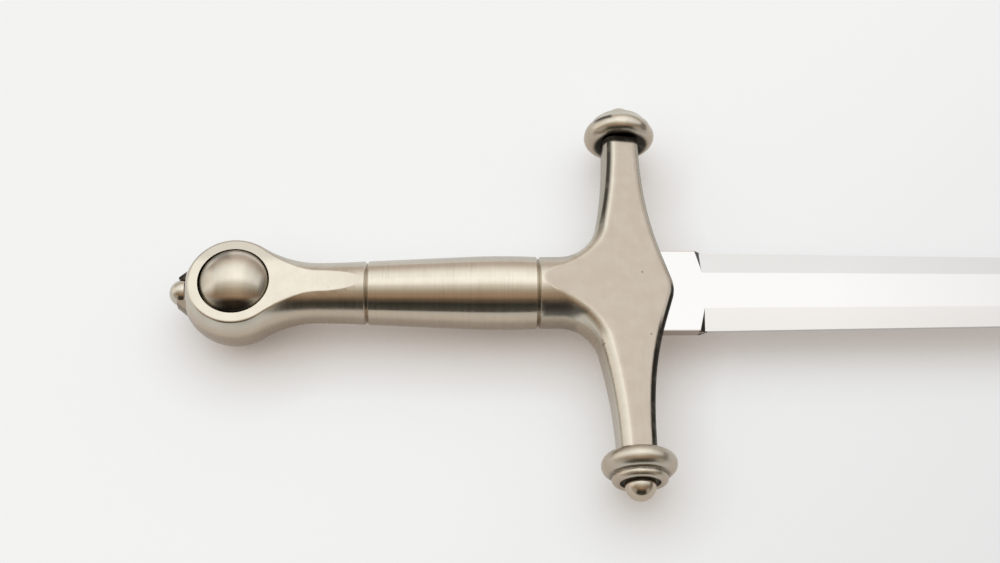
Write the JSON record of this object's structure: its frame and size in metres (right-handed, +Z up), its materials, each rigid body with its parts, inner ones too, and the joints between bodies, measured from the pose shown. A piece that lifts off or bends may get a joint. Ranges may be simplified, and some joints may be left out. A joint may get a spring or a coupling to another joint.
{
  "type": "letter opener",
  "caption": "Letter opener shaped as a small cross-hilted sword: straight bevelled blade, guard with knobbed ends, round grip and flat-sided ball pommel with domed discs.",
  "frame": {"origin": "centre of the part's bounding box in plan, on the surface that it lies on", "axes": "+X along the blade towards its point, +Y along the guard, +Z up through the blade's flat"},
  "size_m": [0.2396, 0.064, 0.0122],
  "materials": {
    "blade_steel": "mirror-polished stainless steel with fine lengthwise marks on the ground bevels",
    "hilt_metal": "warm antique nickel on a casting, satin brushed, darker in the grooves",
    "disc_metal": "the same antique nickel, brushed round the dome",
    "stud_metal": "the same antique nickel, polished smooth on the balls"
  },
  "bodies": {
    "root": {"blade": "blade_steel", "guard": "hilt_metal", "quillon_cap_upper": "hilt_metal", "quillon_cap_lower": "hilt_metal", "quillon_stud_upper": "stud_metal", "quillon_stud_lower": "stud_metal", "grip": "hilt_metal", "pommel": "hilt_metal", "pommel_disc_front": "disc_metal", "pommel_disc_rear": "disc_metal", "nut_collar": "hilt_metal", "tang_nut": "stud_metal"}
  },
  "joints": []
}
